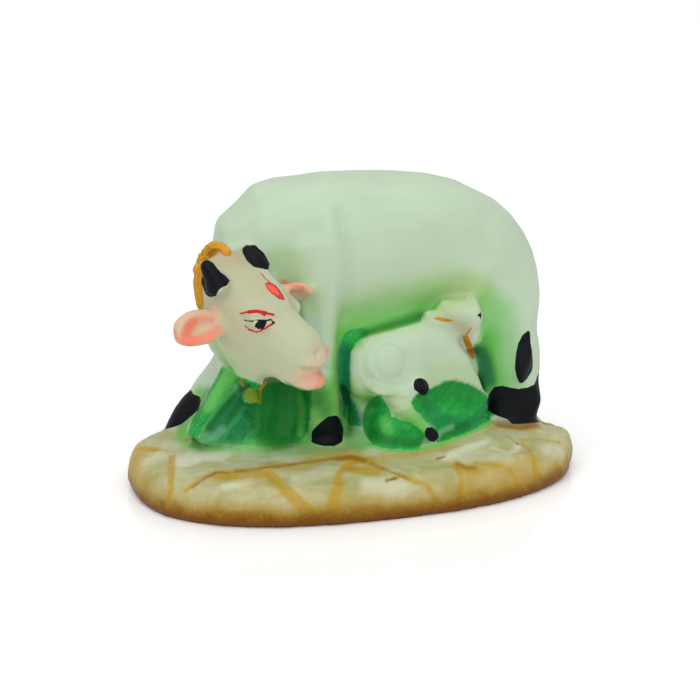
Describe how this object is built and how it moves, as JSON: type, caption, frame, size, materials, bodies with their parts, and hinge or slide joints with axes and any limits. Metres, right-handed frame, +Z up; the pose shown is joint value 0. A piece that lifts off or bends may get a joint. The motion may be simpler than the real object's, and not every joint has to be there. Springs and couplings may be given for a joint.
{
  "type": "cow and calf statue",
  "caption": "Small cast resin figure of a standing cow with her head turned back to the calf at her side, on a low oval base.",
  "frame": {"origin": "middle of the flat underside of the oval base", "axes": "+Z up, +X along the base from the cow's chest to her tail, +Y from the calf's side to the plain far side"},
  "size_m": [0.08, 0.049, 0.0547],
  "materials": {
    "painted_resin": "satin, hand painted"
  },
  "bodies": {
    "root": {"cow_and_calf_statue": "painted_resin"}
  },
  "joints": []
}
